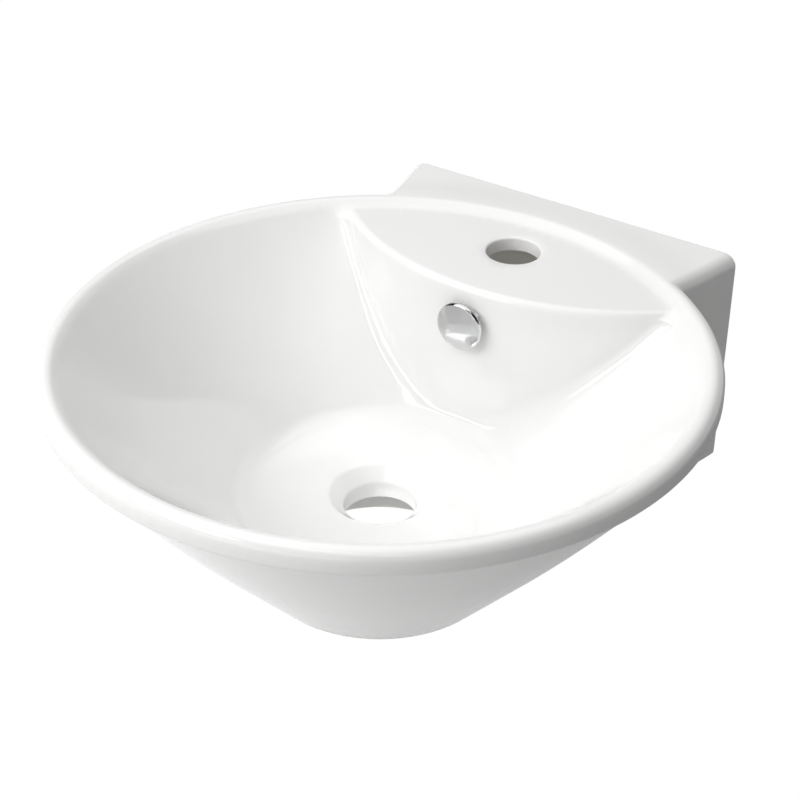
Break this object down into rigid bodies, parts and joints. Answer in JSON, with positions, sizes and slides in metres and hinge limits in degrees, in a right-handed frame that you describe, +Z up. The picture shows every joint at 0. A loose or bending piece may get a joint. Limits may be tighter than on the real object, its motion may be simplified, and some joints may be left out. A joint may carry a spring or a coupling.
{
  "type": "wall basin",
  "caption": "Round conical wash basin in glazed ceramic with a tapered wall block, a tap ledge with one tap hole, and a round chrome overflow cap.",
  "frame": {"origin": "on the waste hole's axis, halfway through the ceramic wall that the hole goes through", "axes": "+X to the right along the wall for a person in front, +Y towards the wall, +Z up out of the bowl"},
  "size_m": [0.401, 0.423, 0.1628],
  "materials": {
    "glazed_ceramic": "white gloss glaze",
    "chrome": "polished",
    "clip_plastic": "natural",
    "rubber": "soft black"
  },
  "bodies": {
    "basin": {"basin": "glazed_ceramic"},
    "cap_set": {"overflow_cap": "chrome", "overflow_clip": "clip_plastic", "grip_ring": "rubber"}
  },
  "joints": [
    {"name": "overflow_cap_pull", "type": "slide", "parent": "basin", "child": "cap_set", "axis": [0, -1, 0], "range_m": [0, 0.03]}
  ]
}
